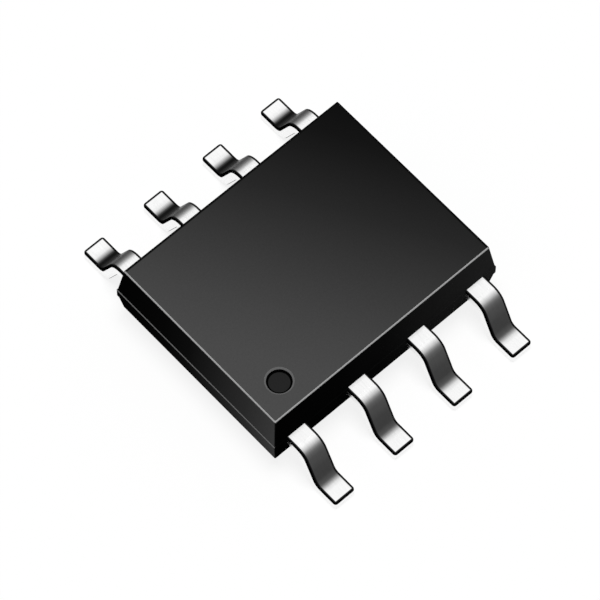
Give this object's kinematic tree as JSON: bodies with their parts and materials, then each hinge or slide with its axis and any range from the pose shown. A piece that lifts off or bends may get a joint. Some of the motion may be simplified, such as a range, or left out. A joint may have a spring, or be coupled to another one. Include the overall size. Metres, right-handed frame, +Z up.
{
  "type": "soic chip",
  "caption": "Small-outline surface-mount chip with a drafted moulded body and gull-wing leads along its two long sides, sealed over a leadframe, a die and bond wires.",
  "frame": {"origin": "centre of the seating plane, on the undersides of the feet, below the middle of the body", "axes": "+X along the body from pin 1 to pin 4, +Y across the leads from the row of pins 1 to 4 to the row of pins 5 to 8, +Z up from the circuit board"},
  "size_m": [0.0048, 0.006, 0.0015],
  "materials": {
    "moulding_compound": "matte",
    "tin_plate": "satin",
    "leadframe_copper": "satin",
    "silver_epoxy": "matte",
    "silicon": "polished",
    "gold_wire": "polished"
  },
  "bodies": {
    "root": {"encapsulant": "moulding_compound", "die_pad": "leadframe_copper", "die_attach": "silver_epoxy", "die": "silicon", "lead_1": "tin_plate", "lead_2": "tin_plate", "lead_3": "tin_plate", "lead_4": "tin_plate", "lead_5": "tin_plate", "lead_6": "tin_plate", "lead_7": "tin_plate", "lead_8": "tin_plate", "bond_wire_1": "gold_wire", "bond_wire_2": "gold_wire", "bond_wire_3": "gold_wire", "bond_wire_4": "gold_wire", "bond_wire_5": "gold_wire", "bond_wire_6": "gold_wire", "bond_wire_7": "gold_wire", "bond_wire_8": "gold_wire"}
  },
  "joints": []
}
